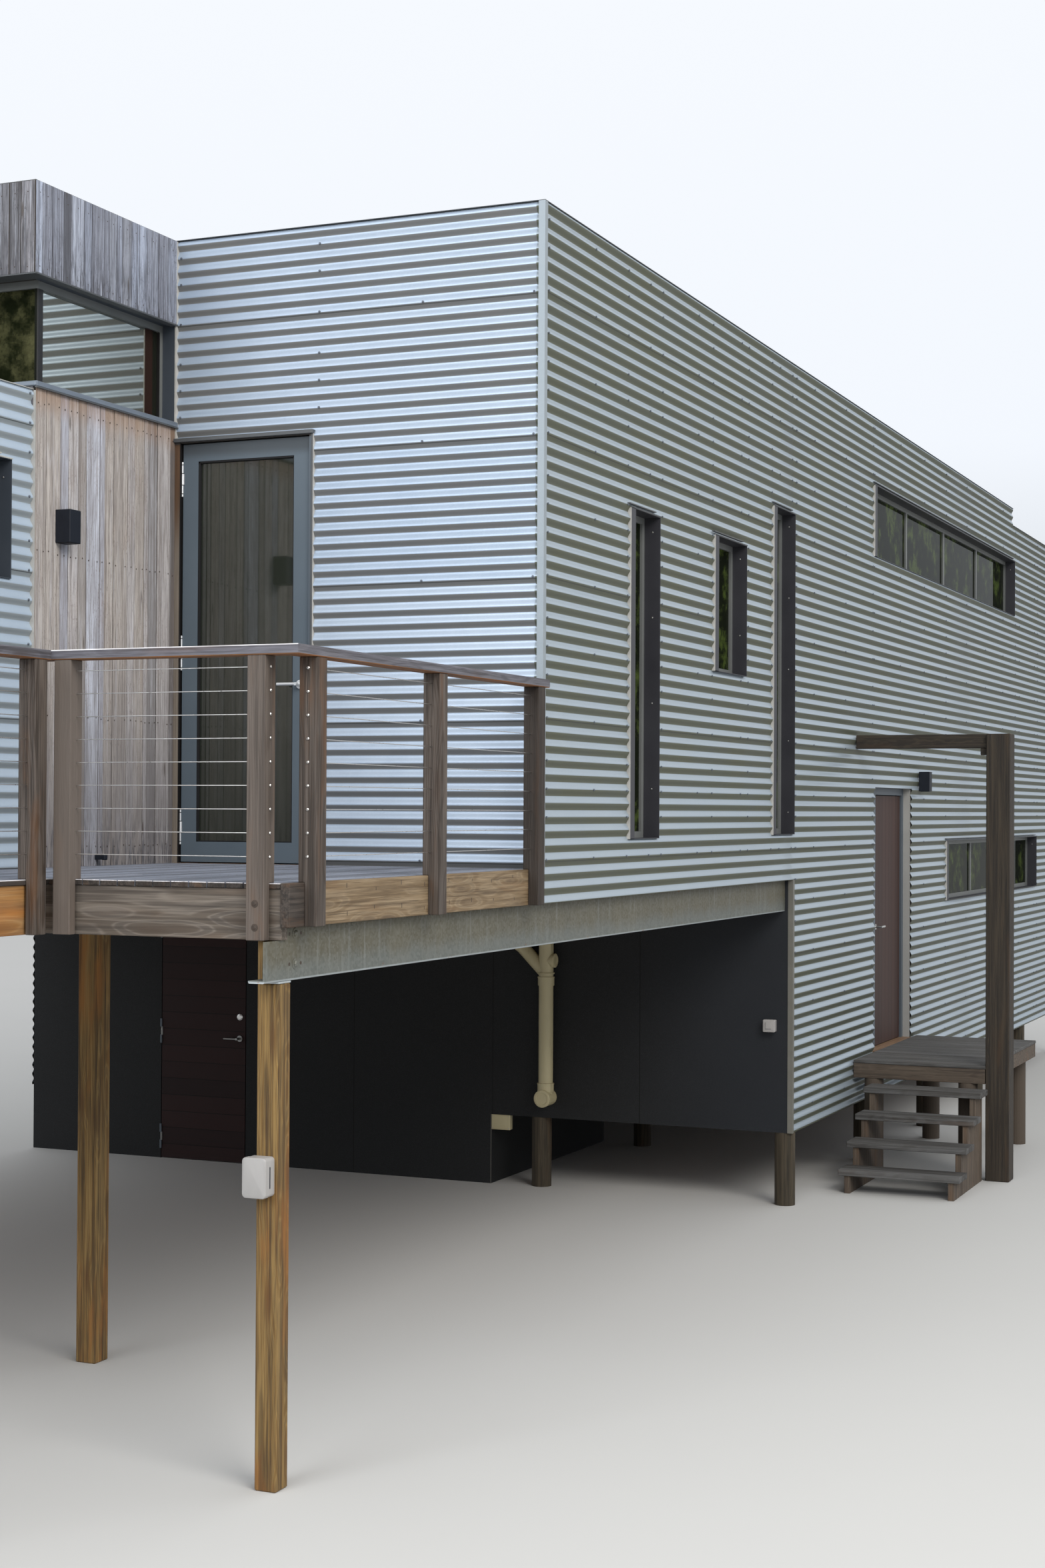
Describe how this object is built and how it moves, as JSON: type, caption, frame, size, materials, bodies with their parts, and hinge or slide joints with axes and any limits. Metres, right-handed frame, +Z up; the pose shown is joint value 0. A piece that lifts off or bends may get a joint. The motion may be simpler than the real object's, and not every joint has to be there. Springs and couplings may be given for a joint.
{
  "type": "raised cabin",
  "caption": "Split-level cabin clad in corrugated steel sheet, raised on posts over an open undercroft, with a railed timber deck, a landing with steps, and hinged doors.",
  "frame": {"origin": "centre of the foot of the front post under the deck, on the ground", "axes": "+X to the right across the front, away from the wing; +Y to the rear along the cabin; +Z up"},
  "size_m": [7.875, 20.6, 6.123],
  "materials": {
    "corrugated_sheet": "satin, weathered",
    "wall_frame": "plain",
    "dark_sheet": "matt",
    "floor_wood": "plain",
    "roof_sheet": "matt",
    "flashing_metal": "satin",
    "post_wood": "weathered",
    "galvanised_steel": "galvanised",
    "deck_wood": "weathered",
    "fascia_wood": "weathered",
    "rail_wood": "weathered",
    "wire_steel": "bright",
    "clad_wood": "weathered boards",
    "frame_paint": "satin",
    "glass": "clear",
    "door_wood": "oiled",
    "dark_wood": "weathered",
    "pipe_plastic": "matt",
    "fitting_plastic": "matt"
  },
  "bodies": {
    "house": {"front_cladding": "corrugated_sheet", "side_cladding": "corrugated_sheet", "rear_cladding": "corrugated_sheet", "front_wall": "wall_frame", "front_wall_over_door": "wall_frame", "side_wall_front": "wall_frame", "side_wall_low": "wall_frame", "side_wall_over_entry": "wall_frame", "side_wall_rear": "wall_frame", "back_wall": "wall_frame", "left_wall": "wall_frame", "wing_wall_right": "wall_frame", "wing_wall_front": "wall_frame", "undercroft_wall_left": "dark_sheet", "undercroft_wall_over_door": "dark_sheet", "undercroft_wall_right": "dark_sheet", "store_walls": "dark_sheet", "upper_floor": "floor_wood", "lower_floor": "floor_wood", "main_roof": "roof_sheet", "wing_roof": "roof_sheet", "flashings": "flashing_metal", "stumps": "post_wood", "undercroft_posts": "post_wood", "side_beam": "galvanised_steel", "bearers": "post_wood", "deck_boards": "deck_wood", "deck_frame": "fascia_wood", "rail_posts": "rail_wood", "handrail": "rail_wood", "front_wires": "wire_steel", "side_wires": "wire_steel", "walkway_wires": "wire_steel", "timber_wall": "clad_wood", "timber_parapet": "clad_wood", "window_frames": "frame_paint", "window_glass": "glass", "door_frames": "frame_paint", "landing": "dark_wood", "steps": "dark_wood", "porch_frame": "dark_wood", "waste_pipe": "pipe_plastic", "wall_fittings": "fitting_plastic"},
    "deck_door": {"deck_door": "frame_paint", "deck_door_glass": "glass"},
    "store_door": {"store_door": "door_wood"},
    "entry_door": {"entry_door": "door_wood"}
  },
  "joints": [
    {"name": "deck_door_hinge", "type": "hinge", "parent": "house", "child": "deck_door", "pos_m": [-2.138, 2.662, 2.563], "axis": [0, 0, -1], "range_deg": [0, 85]},
    {"name": "store_door_hinge", "type": "hinge", "parent": "house", "child": "store_door", "pos_m": [-5.245, 7.354, 0.007], "axis": [0, 0, -1], "range_deg": [0, 105]},
    {"name": "entry_door_hinge", "type": "hinge", "parent": "house", "child": "entry_door", "pos_m": [-0.032, 10.984, 0.897], "axis": [0, 0, -1], "range_deg": [0, 95]}
  ]
}
